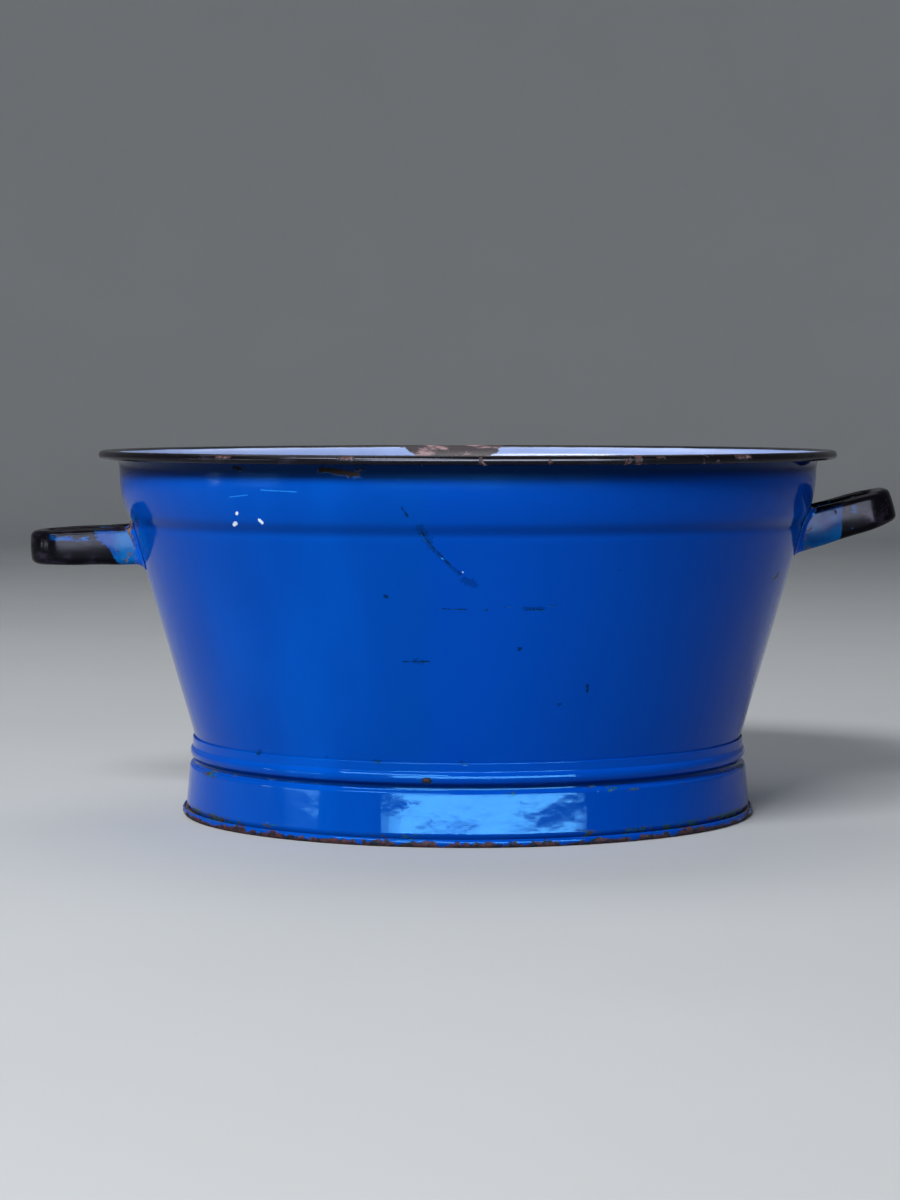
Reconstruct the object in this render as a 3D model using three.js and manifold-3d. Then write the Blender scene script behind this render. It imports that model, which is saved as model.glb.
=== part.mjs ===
// An oval wash tub of enamelled sheet steel: a tapered wall with a rolled rim, a floor pan,
// a foot ring lapped over the waist, and a hollow loop handle at each end.
//
// Millimetres, +Z up. The origin is on the surface the tub stands on, under the middle of the
// tub. The long axis of the oval lies along X.
//
// Every ring of the tub is swept round one family of ovals. A profile point names the oval it
// belongs to by that oval's half-length, and says how far outside the oval it lies, so a sheet
// keeps one thickness at the ends and at the sides.

import * as THREE from 'three';
import Module from 'manifold-3d';
import { mergeVertices } from 'three/addons/utils/BufferGeometryUtils.js';

// General
const OVAL_RATIO = 0.8;            // width of each oval over its length
const OVAL_SEGMENTS = 56;
const SHEET = 1.2;                 // steel with enamel on both faces
const GAP = 0.3;                   // between pieces that touch
const ROLL_RADIUS = 3.1;           // outside of the two rolled edges
const WIRE_RADIUS = 1.5;
const WIRE_SIDES = 6;
const ROLL_STEPS = 7;
const WELD = 1e-4;                 // points closer than this are one point

// Wall
const TUB_HEIGHT = 252;
const RIM_HALF_LENGTH = 255;
const FLARE_RADIUS = 12;           // inside face of the flare below the rim
const FLARE_STEPS = 4;
const NECK_Z = TUB_HEIGHT - FLARE_RADIUS;
const BAND_HALF_LENGTH = 240.8;
const BAND_FOOT_Z = 232;           // the upright band starts to round in here
const SHOULDER_PULL = [240.4, 218];
const SHOULDER_HALF_LENGTH = 232.7;
const SHOULDER_Z = 202;
const SHOULDER_STEPS = 4;
const WAIST_HALF_LENGTH = 190.4;
const WAIST_Z = 54;
const WALL_FOOT_Z = 42;
const RIM_ROLL_END = -165;         // degrees, from the outermost point of the roll

// Foot ring: widths are measured out from the oval of the waist
const LAP_OUT = GAP + SHEET;
const LAP_Z = 54;
const RIB_OUT = 3.3;
const RIB_Z = 44;
const RIB_RADIUS = 5;
const RIB_STEPS = 3;
const GROOVE_OUT = -0.2;
const GROOVE_Z = 37.4;
const GROOVE_RADIUS = 3;
const GROOVE_ARC = [140, 220, 2];   // first angle, last angle and steps
const SKIRT_TOP_OUT = 3.8;
const SKIRT_TOP_Z = 33.2;
const SKIRT_TOP_RADIUS = 2.6;
const SKIRT_TOP_ARC = [60, 0, 2];
const SKIRT_FOOT_OUT = 6.1;
const SKIRT_FOOT_Z = 8.2;
const FOOT_OUT = 9;
const FOOT_ROLL = [130, 410];      // degrees, in past the inside and round under the wire

// Floor pan
const PAN_OUT = -SHEET - GAP;
const PAN_FLOOR_Z = 36;
const PAN_CORNER_RADIUS = 4;
const PAN_CORNER_STEPS = 3;
const PAN_RIM_Z = 52;

// Handles
const GRIP_WIDTH = 60;             // over the two legs
const GRIP_THICKNESS = 11;
const GRIP_ROOT_HEIGHT = 26.5;
const GRIP_TIP_HEIGHT = 23.5;
const GRIP_CORNER_RADIUS = 4.5;
const GRIP_BEND_RADIUS = 20;       // centre line of each bend
const GRIP_CORNER_STEPS = 2;
const GRIP_STEPS = 28;
const GRIP_START = 0.5;            // each leg starts this far out along the tub, and is cut at the wall
const SEAM = 1.4;                  // open seam along the finger side
const PAD_HEIGHT = 44;
const PAD_WIDTH = 23;
const PAD_CORNER_RADIUS = 8;
const PAD_CORNER_STEPS = 4;
const PAD_THICKNESS = 1.5;
const HANDLES = [
  { side: 'left', turn: Math.PI, rootZ: 186.7, reach: 303.4, tilt: -1.5 },
  { side: 'right', turn: 0, rootZ: 196.6, reach: 298.2, tilt: 16.4 },
];

const BLUE = { color: 0x0046b0, roughness: 0.2, metalness: 0 };
const BLACK = { color: 0x0b0a0f, roughness: 0.25, metalness: 0 };
const PALE = { color: 0xc9d2ea, roughness: 0.25, metalness: 0 };
const STEEL = { color: 0x5a5653, roughness: 0.55, metalness: 0.9 };

const wasm = await Module();
wasm.setup();

// ---- Profiles ----

// A point on or near an oval: out is its distance outside that oval's skin.
const point = (skin, z, out = 0) => ({ skin, z, out });
const waistPoint = (out, z) => point(WAIST_HALF_LENGTH, z, out);

const inside = (outer) => outer.map((p) => point(p.skin, p.z, p.out - SHEET)).reverse();

// Points of an arc in the plane of the profile, from one angle to another in degrees.
function arc(radius, from, to, steps, place) {
  return Array.from({ length: steps + 1 }, (_, i) => {
    const angle = THREE.MathUtils.degToRad(from + ((to - from) * i) / steps);
    return place(radius * Math.cos(angle), radius * Math.sin(angle));
  });
}

// An arc whose points each lie on an oval of their own.
const ovalArc = (centreHalfLength, centreZ, radius, from, to, steps) =>
  arc(radius, from, to, steps, (x, z) => point(centreHalfLength + x, centreZ + z));

// An arc that keeps its shape all the way round the tub, such as a rib or a roll round a wire.
const evenArc = (centre, radius, from, to, steps) =>
  arc(radius, from, to, steps, (x, z) => point(centre.skin, centre.z + z, centre.out + x));

function shoulderPoints() {
  const curve = new THREE.QuadraticBezierCurve(
    new THREE.Vector2(SHOULDER_HALF_LENGTH, SHOULDER_Z),
    new THREE.Vector2(...SHOULDER_PULL),
    new THREE.Vector2(BAND_HALF_LENGTH, BAND_FOOT_Z),
  );
  return curve.getPoints(SHOULDER_STEPS).map((p) => point(p.x, p.y));
}

const rimCentre = point(RIM_HALF_LENGTH - ROLL_RADIUS, TUB_HEIGHT - ROLL_RADIUS);

function flarePoints() {
  const neckHalfLength = rimCentre.skin - FLARE_RADIUS + SHEET;
  return ovalArc(rimCentre.skin, NECK_Z, rimCentre.skin - neckHalfLength, 180, 90, FLARE_STEPS);
}

// The outside of the wall below the flare, from the waist up.
function skinPoints() {
  return [point(WAIST_HALF_LENGTH, WALL_FOOT_Z), point(WAIST_HALF_LENGTH, WAIST_Z), ...shoulderPoints()];
}

function wallProfile() {
  const outer = [...skinPoints(), ...flarePoints().slice(0, -1)];
  const roll = (radius, from, to) => evenArc(rimCentre, radius, from, to, ROLL_STEPS);
  return [
    ...outer,
    ...roll(ROLL_RADIUS - SHEET, 90, RIM_ROLL_END),
    ...roll(ROLL_RADIUS, RIM_ROLL_END, 90),
    ...insideOfFlare(),
    ...inside(skinPoints()),
  ];
}

// The inner face of the flare is an arc about the same centre, one sheet further out.
function insideOfFlare() {
  const scale = FLARE_RADIUS / (FLARE_RADIUS - SHEET);
  return flarePoints().slice(0, -1).reverse().map((p) => {
    const fromCentre = p.skin - rimCentre.skin;
    return point(p.skin, NECK_Z + (p.z - NECK_Z) * scale, fromCentre * (scale - 1));
  });
}

// The lowest side of the foot's roll is flat, and lies on the ground.
const footStep = THREE.MathUtils.degToRad((FOOT_ROLL[1] - FOOT_ROLL[0]) / ROLL_STEPS);
const footCentre = waistPoint(FOOT_OUT - ROLL_RADIUS, ROLL_RADIUS * Math.cos(footStep / 2));

function footProfile() {
  const ribCentre = waistPoint(RIB_OUT - RIB_RADIUS, RIB_Z);
  const ribAngle = THREE.MathUtils.radToDeg(Math.acos((LAP_OUT - ribCentre.out) / RIB_RADIUS));
  const grooveCentre = waistPoint(GROOVE_OUT + GROOVE_RADIUS, GROOVE_Z);
  const skirtTopCentre = waistPoint(SKIRT_TOP_OUT - SKIRT_TOP_RADIUS, SKIRT_TOP_Z);
  const outer = [
    waistPoint(LAP_OUT, LAP_Z),
    ...evenArc(ribCentre, RIB_RADIUS, ribAngle, -ribAngle, RIB_STEPS),
    ...evenArc(grooveCentre, GROOVE_RADIUS, ...GROOVE_ARC),
    ...evenArc(skirtTopCentre, SKIRT_TOP_RADIUS, ...SKIRT_TOP_ARC),
    waistPoint(SKIRT_FOOT_OUT, SKIRT_FOOT_Z),
  ];
  const roll = (radius, from, to) => evenArc(footCentre, radius, from, to, ROLL_STEPS);
  return [
    ...outer,
    ...roll(ROLL_RADIUS - SHEET, ...FOOT_ROLL),
    ...roll(ROLL_RADIUS, ...FOOT_ROLL.toReversed()),
    ...inside(outer),
  ].reverse();
}

function panProfile() {
  const cornerCentre = waistPoint(PAN_OUT - PAN_CORNER_RADIUS, PAN_FLOOR_Z + PAN_CORNER_RADIUS);
  return [
    point(0, PAN_FLOOR_Z),
    ...evenArc(cornerCentre, PAN_CORNER_RADIUS, -90, 0, PAN_CORNER_STEPS),
    waistPoint(PAN_OUT, PAN_RIM_Z),
    waistPoint(PAN_OUT - SHEET, PAN_RIM_Z),
    ...evenArc(cornerCentre, PAN_CORNER_RADIUS - SHEET, 0, -90, PAN_CORNER_STEPS),
    point(0, PAN_FLOOR_Z + SHEET),
  ];
}

const wireProfile = (centre) => evenArc(centre, WIRE_RADIUS, 0, 360, WIRE_SIDES).slice(0, -1);

// ---- Solids ----

// Sweeps a profile round its ovals. A profile that starts off the axis is closed on itself.
function ovalGeometry(profile) {
  const ring = profile[0].skin > 0 ? [...profile, profile[0]] : profile;
  const lathe = new THREE.LatheGeometry(
    ring.map((p) => new THREE.Vector2(p.skin + p.out, p.z)),
    OVAL_SEGMENTS,
  );
  lathe.rotateX(Math.PI / 2);
  const position = lathe.getAttribute('position');
  for (let i = 0; i < position.count; i += 1) {
    const { skin } = ring[i % ring.length];
    const turn = (2 * Math.PI * Math.floor(i / ring.length)) / OVAL_SEGMENTS;
    position.setY(i, position.getY(i) + (1 - OVAL_RATIO) * skin * Math.cos(turn));
  }
  lathe.computeVertexNormals();
  return lathe;
}

function toManifold(geometry) {
  const bare = geometry.clone();
  bare.deleteAttribute('normal');
  bare.deleteAttribute('uv');
  const merged = mergeVertices(bare, WELD);
  return new wasm.Manifold(new wasm.Mesh({
    numProp: 3,
    vertProperties: new Float32Array(merged.getAttribute('position').array),
    triVerts: new Uint32Array(merged.getIndex().array),
  }));
}

function fromManifold(solid) {
  const { vertProperties, triVerts } = solid.getMesh();
  const geometry = new THREE.BufferGeometry();
  geometry.setAttribute('position', new THREE.BufferAttribute(vertProperties, 3));
  geometry.setIndex(new THREE.BufferAttribute(triVerts, 1));
  geometry.computeVertexNormals();
  return geometry;
}

// The solid of everything within a distance of the wall's outside.
function tubSolid(distance) {
  const skin = skinPoints().map((p) => point(p.skin, p.z, distance));
  const [foot, top] = [skin[0], skin.at(-1)];
  return toManifold(ovalGeometry([point(0, foot.z), ...skin, point(0, top.z)]));
}

function roundedRectangle(Path, width, height, radius) {
  const [w, h] = [width / 2, height / 2];
  const path = new Path();
  path.moveTo(-w + radius, -h);
  path.lineTo(w - radius, -h);
  path.absarc(w - radius, -h + radius, radius, -Math.PI / 2, 0);
  path.lineTo(w, h - radius);
  path.absarc(w - radius, h - radius, radius, 0, Math.PI / 2);
  path.lineTo(-w + radius, h);
  path.absarc(-w + radius, h - radius, radius, Math.PI / 2, Math.PI);
  path.lineTo(-w, -h + radius);
  path.absarc(-w + radius, -h + radius, radius, Math.PI, 1.5 * Math.PI);
  return path;
}

// ---- Handles ----

// The section of a grip: x runs across the strip, y from its finger side to its outer side.
// The sheet is rolled to a flat tube that leaves an open seam along the finger side.
function gripSection() {
  const bent = (shrink) => roundedRectangle(
    THREE.Path,
    GRIP_ROOT_HEIGHT - 2 * shrink,
    GRIP_THICKNESS - 2 * shrink,
    GRIP_CORNER_RADIUS - shrink,
  ).getPoints(GRIP_CORNER_STEPS);
  const side = -GRIP_THICKNESS / 2;
  const outline = [
    new THREE.Vector2(SEAM / 2, side),
    ...bent(0).slice(1, -1),
    new THREE.Vector2(-SEAM / 2, side),
    new THREE.Vector2(-SEAM / 2, side + SHEET),
    ...bent(SHEET).slice(1, -1).reverse(),
    new THREE.Vector2(SEAM / 2, side + SHEET),
  ];
  return new THREE.Shape(outline);
}

// The centre line of a grip: out along one leg, round the two bends and back along the other.
function gripPath(length) {
  const y = (GRIP_WIDTH - GRIP_THICKNESS) / 2;
  const x = length - GRIP_THICKNESS / 2;
  const at = (px, py) => new THREE.Vector3(px, py, 0);
  const bend = GRIP_BEND_RADIUS;
  const path = new THREE.CurvePath();
  path.add(new THREE.LineCurve3(at(0, y), at(x - bend, y)));
  path.add(new THREE.QuadraticBezierCurve3(at(x - bend, y), at(x, y), at(x, y - bend)));
  path.add(new THREE.LineCurve3(at(x, y - bend), at(x, bend - y)));
  path.add(new THREE.QuadraticBezierCurve3(at(x, bend - y), at(x, -y), at(x - bend, -y)));
  path.add(new THREE.LineCurve3(at(x - bend, -y), at(0, -y)));
  return path;
}

// The grip runs out along +X from inside the wall. Its strip narrows from root to tip.
function gripGeometry(length, rootX) {
  const grip = new THREE.ExtrudeGeometry(gripSection(), {
    steps: GRIP_STEPS,
    bevelEnabled: false,
    extrudePath: gripPath(length),
  });
  const position = grip.getAttribute('position');
  for (let i = 0; i < position.count; i += 1) {
    const along = THREE.MathUtils.clamp((position.getX(i) - rootX) / (length - rootX), 0, 1);
    const narrowing = THREE.MathUtils.lerp(1, GRIP_TIP_HEIGHT / GRIP_ROOT_HEIGHT, along);
    position.setZ(i, position.getZ(i) * narrowing);
  }
  return grip;
}

// How far out the wall is at a height on the straight part of its taper.
const wallHalfLength = (z) => THREE.MathUtils.mapLinear(
  z, WAIST_Z, SHOULDER_Z, WAIST_HALF_LENGTH, SHOULDER_HALF_LENGTH,
);

// Placed on the +X end, then turned to the handle's own end of the tub.
function onEnd(solid, turn) {
  return solid.rotate([0, 0, THREE.MathUtils.radToDeg(turn)]);
}

function gripSolid({ turn, rootZ, reach, tilt }) {
  const startX = wallHalfLength(rootZ) * GRIP_START;
  const rise = THREE.MathUtils.degToRad(tilt);
  const rootX = wallHalfLength(rootZ) - startX;
  const tipRise = (Math.abs(Math.sin(rise)) * GRIP_TIP_HEIGHT) / 2;
  const length = rootX + (reach - tipRise - wallHalfLength(rootZ)) / Math.cos(rise);
  const geometry = gripGeometry(length, rootX);
  geometry.translate(-rootX, 0, 0);
  geometry.rotateY(-rise);
  geometry.translate(wallHalfLength(rootZ), 0, rootZ);
  const keepOff = tubSolid(GAP + PAD_THICKNESS + GAP);
  return onEnd(toManifold(geometry).subtract(keepOff), turn);
}

function padSolid({ turn, rootZ }, legY) {
  const prism = new THREE.ExtrudeGeometry(
    roundedRectangle(THREE.Shape, PAD_HEIGHT, PAD_WIDTH, PAD_CORNER_RADIUS),
    { depth: RIM_HALF_LENGTH, bevelEnabled: false, curveSegments: PAD_CORNER_STEPS },
  );
  prism.rotateY(Math.PI / 2);
  prism.translate(0, legY, rootZ);
  const outer = tubSolid(GAP + PAD_THICKNESS);
  const inner = tubSolid(GAP);
  return onEnd(toManifold(prism).intersect(outer).subtract(inner), turn);
}

// ---- Assembly ----

const tub = new THREE.Group();

function addPiece(name, geometry, finish) {
  const mesh = new THREE.Mesh(geometry, new THREE.MeshStandardMaterial(finish));
  mesh.name = name;
  tub.add(mesh);
}

addPiece('wall', ovalGeometry(wallProfile()), BLUE);
addPiece('rim_wire', ovalGeometry(wireProfile(rimCentre)), STEEL);
addPiece('floor_pan', ovalGeometry(panProfile()), PALE);
addPiece('foot_ring', ovalGeometry(footProfile()), BLUE);
addPiece('foot_wire', ovalGeometry(wireProfile(footCentre)), STEEL);

for (const handle of HANDLES) {
  const legY = (GRIP_WIDTH - GRIP_THICKNESS) / 2;
  const frontY = handle.side === 'left' ? legY : -legY;
  addPiece(`${handle.side}_grip`, fromManifold(gripSolid(handle)), BLACK);
  addPiece(`${handle.side}_front_pad`, fromManifold(padSolid(handle, frontY)), BLUE);
  addPiece(`${handle.side}_rear_pad`, fromManifold(padSolid(handle, -frontY)), BLUE);
}

export default tub;
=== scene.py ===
"""The looks of an oval enamelled wash tub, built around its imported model. Metres, +Z up."""

import bpy
import numpy as np
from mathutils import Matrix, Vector


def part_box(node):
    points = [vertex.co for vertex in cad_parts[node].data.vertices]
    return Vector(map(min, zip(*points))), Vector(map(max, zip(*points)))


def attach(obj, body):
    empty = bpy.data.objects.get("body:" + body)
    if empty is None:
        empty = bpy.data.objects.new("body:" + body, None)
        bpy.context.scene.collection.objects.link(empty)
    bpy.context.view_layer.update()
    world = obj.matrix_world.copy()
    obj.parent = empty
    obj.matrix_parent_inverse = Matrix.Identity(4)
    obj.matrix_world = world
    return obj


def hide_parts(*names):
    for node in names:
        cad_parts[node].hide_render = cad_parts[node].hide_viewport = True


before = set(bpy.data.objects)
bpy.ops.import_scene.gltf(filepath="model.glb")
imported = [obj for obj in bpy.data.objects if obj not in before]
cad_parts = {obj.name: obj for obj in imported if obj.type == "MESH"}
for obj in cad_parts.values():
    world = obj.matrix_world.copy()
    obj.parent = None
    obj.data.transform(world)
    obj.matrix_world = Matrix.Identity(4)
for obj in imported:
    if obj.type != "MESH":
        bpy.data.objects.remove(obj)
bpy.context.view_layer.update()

MM = 0.001

# ---- Driving dimensions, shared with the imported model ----

OVAL_RATIO = 0.8                  # width of each oval over its length
SHEET = 1.2 * MM
GAP = 0.3 * MM                    # between pieces that touch
ROLL_RADIUS = 3.1 * MM            # outside of the two rolled edges
WIRE_RADIUS = 1.5 * MM
FLARE_RADIUS = 12 * MM

WALL_LOW, WALL_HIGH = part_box("wall")
RIM_HALF_LENGTH = 255 * MM
RIM_Z = WALL_HIGH.z
NECK_Z = RIM_Z - FLARE_RADIUS
BAND_HALF_LENGTH, BAND_FOOT_Z = 240.8 * MM, 232 * MM
SHOULDER_PULL = (240.4 * MM, 218 * MM)
SHOULDER_HALF_LENGTH, SHOULDER_Z = 232.7 * MM, 202 * MM
WAIST_HALF_LENGTH, WAIST_Z = 190.4 * MM, 54 * MM
CREASE_DEPTH, CREASE_Z, CREASE_HEIGHT = 0.6 * MM, 203.6 * MM, 3.6 * MM
SWELL_DEPTH, SWELL_Z, SWELL_HEIGHT = 0.12 * MM, 197.5 * MM, 4 * MM

LAP_OUT, LAP_Z = GAP + SHEET, 54 * MM
RIB_OUT, RIB_Z, RIB_RADIUS = 3.3 * MM, 44 * MM, 5 * MM
GROOVE_OUT, GROOVE_Z, GROOVE_RADIUS = -0.2 * MM, 37.4 * MM, 3 * MM
SKIRT_TOP_OUT, SKIRT_TOP_Z, SKIRT_TOP_RADIUS = 3.8 * MM, 33.2 * MM, 2.6 * MM
SKIRT_FOOT_OUT, SKIRT_FOOT_Z = 6.1 * MM, 8.2 * MM
SKIRT_HOLLOW = 0.03 * MM          # how far the skirt curves in between its two ends
FOOT_OUT = 9 * MM
FOOT_FLAT = 1 * MM                # half the width of the flat that the foot stands on
LAP_DEPTHS = (0.12, 0.4, 2.5, 5.0)  # mm below the lip, where the lap has rings of points
FOOT_ROLL_STEPS = 36
FOOT_ROLL_OUTSIDE = 22            # of those steps, the ones that belong to the outside

PAN_LOW, PAN_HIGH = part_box("floor_pan")
PAN_OUT = -SHEET - GAP
PAN_CORNER_RADIUS = 4 * MM

GRIP_WIDTH, GRIP_THICKNESS = 60 * MM, 11 * MM
GRIP_ROOT_HEIGHT, GRIP_TIP_HEIGHT = 26.5 * MM, 23.5 * MM
GRIP_CORNER_RADIUS, GRIP_BEND_RADIUS = 4.5 * MM, 18 * MM
GRIP_CROWN = 0.8 * MM             # how far the outer face of the strip bulges
GRIP_CLEARANCE = 2.1 * MM         # from the ends of its legs to the wall
GRIP_WANDER = 0.25 * MM           # how far its faces are from flat
SEAM = 1.4 * MM
ROOT_HEIGHT, ROOT_WIDTH, ROOT_CORNER_RADIUS = 34 * MM, 16.5 * MM, 6 * MM
LEG_INSET = 0.5 * MM              # how far the root ends inside the outside of the leg
LEG_Y = (GRIP_WIDTH - GRIP_THICKNESS) / 2
HANDLES = {
    "left": {"end": -1, "root_z": 186.7 * MM, "reach": 303.4 * MM, "tilt": -1.5},
    "right": {"end": 1, "root_z": 196.6 * MM, "reach": 298.2 * MM, "tilt": 16.4},
}

SEGMENTS = 288                    # round each oval

# ---- Profiles: rows of (half-length of the oval, distance outside it, height) ----


def arc(centre, radius, start, stop, steps):
    """Points of an arc in the plane of a profile. Centre is (half-length, out, height), angles in degrees."""
    angle = np.radians(np.linspace(start, stop, steps + 1))
    half_length, out, z = centre
    return [(half_length, out + radius * np.cos(a), z + radius * np.sin(a)) for a in angle]


def shoulder():
    """The soft step from the taper up to the upright band."""
    t = np.linspace(0, 1, 31)[:, None]
    low, pull = np.array([SHOULDER_HALF_LENGTH, SHOULDER_Z]), np.array(SHOULDER_PULL)
    high = np.array([BAND_HALF_LENGTH, BAND_FOOT_Z])
    curve = (1 - t) ** 2 * low + 2 * t * (1 - t) * pull + t**2 * high
    return [(a, 0.0, z) for a, z in curve]


def straight(start, stop, steps):
    """Points between two profile points, without the last."""
    t = np.linspace(0, 1, steps, endpoint=False)[:, None]
    return [tuple(p) for p in np.array(start) * (1 - t) + np.array(stop) * t]


RIM_CENTRE = (RIM_HALF_LENGTH - ROLL_RADIUS, 0, RIM_Z - ROLL_RADIUS)
FOOT_CENTRE = (WAIST_HALF_LENGTH, FOOT_OUT - ROLL_RADIUS, ROLL_RADIUS)


def flare(radius):
    """One face of the flare below the rim. Both faces turn about the same centre."""
    points = []
    for angle in np.radians(np.linspace(180, 90, 13)[:-1]):
        skin = RIM_CENTRE[0] + (FLARE_RADIUS - SHEET) * np.cos(angle)
        out = (radius - FLARE_RADIUS + SHEET) * np.cos(angle)
        points.append((skin, out, NECK_Z + radius * np.sin(angle)))
    return points


def wall_skin():
    """The outside of the wall from its foot up to the flare."""
    foot = (WAIST_HALF_LENGTH, 0, WALL_LOW.z)
    waist = (WAIST_HALF_LENGTH, 0, WAIST_Z)
    low = (SHOULDER_HALF_LENGTH, 0, SHOULDER_Z)
    line = np.array(straight(foot, waist, 3) + straight(waist, low, 90) + shoulder())
    crease = CREASE_DEPTH * np.exp(-(((line[:, 2] - CREASE_Z) / CREASE_HEIGHT) ** 2))
    swell = SWELL_DEPTH * np.exp(-(((line[:, 2] - SWELL_Z) / SWELL_HEIGHT) ** 2))
    return [(a, swell_out - crease_in, z) for (a, _, z), crease_in, swell_out in zip(line, crease, swell)]


def inward(points):
    """The other face of the sheet, which runs the other way."""
    return [(a, out - SHEET, z) for a, out, z in points][::-1]


def wall_profile():
    """Outer face up, round the roll, and the inner face down. The second value is each point's material."""
    outer = wall_skin() + flare(FLARE_RADIUS - SHEET)
    hollow = arc(RIM_CENTRE, ROLL_RADIUS - SHEET, 90, -165, 18)
    roll = arc(RIM_CENTRE, ROLL_RADIUS, -165, 90, 30)
    inner = flare(FLARE_RADIUS)[::-1] + inward(wall_skin())
    points = outer + hollow + roll + inner
    return points, [0] * len(outer) + [2] * (len(hollow) + len(roll)) + [1] * len(inner)


def skirt():
    """The sloping band of the foot ring, a little hollow from top to bottom."""
    t = np.concatenate([[0.02, 0.05], np.linspace(0.09, 0.91, 12), [0.95, 0.98, 1.0]])
    out = SKIRT_TOP_OUT + (SKIRT_FOOT_OUT - SKIRT_TOP_OUT) * t - 4 * SKIRT_HOLLOW * t * (1 - t)
    z = SKIRT_TOP_Z + (SKIRT_FOOT_Z - SKIRT_TOP_Z) * t
    return [(WAIST_HALF_LENGTH, o, h) for o, h in zip(out, z)]


def foot_profile():
    """Lap, rib, groove, skirt and roll of the foot ring. The second value is each point's material."""
    waist = WAIST_HALF_LENGTH
    rib_centre = (waist, RIB_OUT - RIB_RADIUS, RIB_Z)
    rib_angle = np.degrees(np.arccos((LAP_OUT - rib_centre[1]) / RIB_RADIUS))
    lap = [(waist, LAP_OUT, LAP_Z - SHEET / 2 - depth * MM) for depth in LAP_DEPTHS]
    rib = arc(rib_centre, RIB_RADIUS, rib_angle, -rib_angle, 22)
    groove = arc((waist, GROOVE_OUT + GROOVE_RADIUS, GROOVE_Z), GROOVE_RADIUS, 140, 222, 8)
    top_centre = (waist, SKIRT_TOP_OUT - SKIRT_TOP_RADIUS, SKIRT_TOP_Z)
    skirt_top = arc(top_centre, SKIRT_TOP_RADIUS, 64, 8, 7)
    outer = lap + rib + groove + skirt_top + skirt()
    hollow = arc(FOOT_CENTRE, ROLL_RADIUS - SHEET, 130, 410, 20)
    roll = flattened(arc(FOOT_CENTRE, ROLL_RADIUS, 410, 130, FOOT_ROLL_STEPS))
    inner = inward(outer)
    lip = arc((waist, LAP_OUT - SHEET / 2, LAP_Z - SHEET / 2), SHEET / 2, 165, 0, 8)
    points = outer + hollow + roll + inner + lip
    outside = len(outer) + len(hollow) + FOOT_ROLL_OUTSIDE
    inside = len(roll) - FOOT_ROLL_OUTSIDE + len(inner)
    return points, [0] * outside + [1] * inside + [0] * len(lip)


def flattened(points):
    """The roll is worn flat where it stands on the ground."""
    low = ROLL_RADIUS - np.sqrt(ROLL_RADIUS**2 - FOOT_FLAT**2)
    return [(a, out, max(z, low) - low) if z < ROLL_RADIUS else (a, out, z) for a, out, z in points]


def pan_profile():
    """Underside out, edge up, and the inside back to the middle, where a cap closes it."""
    half_length = WAIST_HALF_LENGTH
    centre = (half_length, PAN_OUT - PAN_CORNER_RADIUS, PAN_LOW.z + PAN_CORNER_RADIUS)
    sizes = np.linspace(0.04, 1, 18)[:-1]

    def floor(z):
        return [((half_length + centre[1]) * s, 0.0, z) for s in sizes]

    edge = straight((half_length, PAN_OUT, centre[2]), (half_length, PAN_OUT, PAN_HIGH.z), 4)
    lip_centre = (half_length, PAN_OUT - SHEET / 2, PAN_HIGH.z - SHEET / 2)
    under = floor(PAN_LOW.z) + arc(centre, PAN_CORNER_RADIUS, -90, 0, 8)[:-1] + edge
    lip = arc(lip_centre, SHEET / 2, 0, 180, 8)
    inside = arc(centre, PAN_CORNER_RADIUS - SHEET, 0, -90, 8)
    points = under + lip + inside + floor(PAN_LOW.z + SHEET)[::-1]
    return points, [0] * len(under) + [1] * (len(points) - len(under))


# ---- Sheet that isn't quite true ----

RIPPLE_SEED = 11
RIPPLE_ORDERS = range(3, 12)
RIPPLE_DEPTH = 0.9 * MM
RIPPLE_SHARE = 0.3                # of the depths given here, dents included
_ripples = np.random.default_rng(RIPPLE_SEED)
RIPPLES = [
    (RIPPLE_DEPTH / order, order, *_ripples.uniform(0, 2 * np.pi, 2), _ripples.uniform(4, 14))
    for order in RIPPLE_ORDERS
]

# Shallow dents: (angle round the oval in degrees, height, radius, depth)
DENTS = [
    (-131, 158 * MM, 26 * MM, 0.7 * MM),
    (-88, 188 * MM, 18 * MM, 0.6 * MM),
    (-52, 120 * MM, 34 * MM, 0.5 * MM),
    (62, 140 * MM, 30 * MM, 0.9 * MM),
    (118, 96 * MM, 24 * MM, 0.6 * MM),
    (-104, 18 * MM, 16 * MM, 0.35 * MM),
    (-70, 16 * MM, 20 * MM, 0.3 * MM),
]


def ripple(angle, z):
    """How far the sheet lies outside its true oval."""
    angle, z = np.broadcast_arrays(angle, z)
    total = np.zeros(angle.shape)
    for depth, order, phase, sway, twist in RIPPLES:
        total += depth * np.cos(order * angle + phase + 0.6 * np.sin(twist * z + sway))
    for centre, height, radius, depth in DENTS:
        turn = (angle - np.radians(centre) + np.pi) % (2 * np.pi) - np.pi
        away = (turn * WAIST_HALF_LENGTH) ** 2 + (z - height) ** 2
        total -= depth * np.exp(-away / (2 * (radius / 2) ** 2))
    return total * RIPPLE_SHARE


# ---- Meshes ----


def encloses(vertices, faces):
    """The volume inside the faces, which is negative if they point inwards."""
    points = np.asarray(vertices, float)
    total = 0.0
    for size in {len(face) for face in faces}:
        corners = points[np.array([face for face in faces if len(face) == size])]
        for k in range(1, size - 1):
            total += np.einsum("ij,ij->", corners[:, 0], np.cross(corners[:, k], corners[:, k + 1]))
    return total / 6


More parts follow.
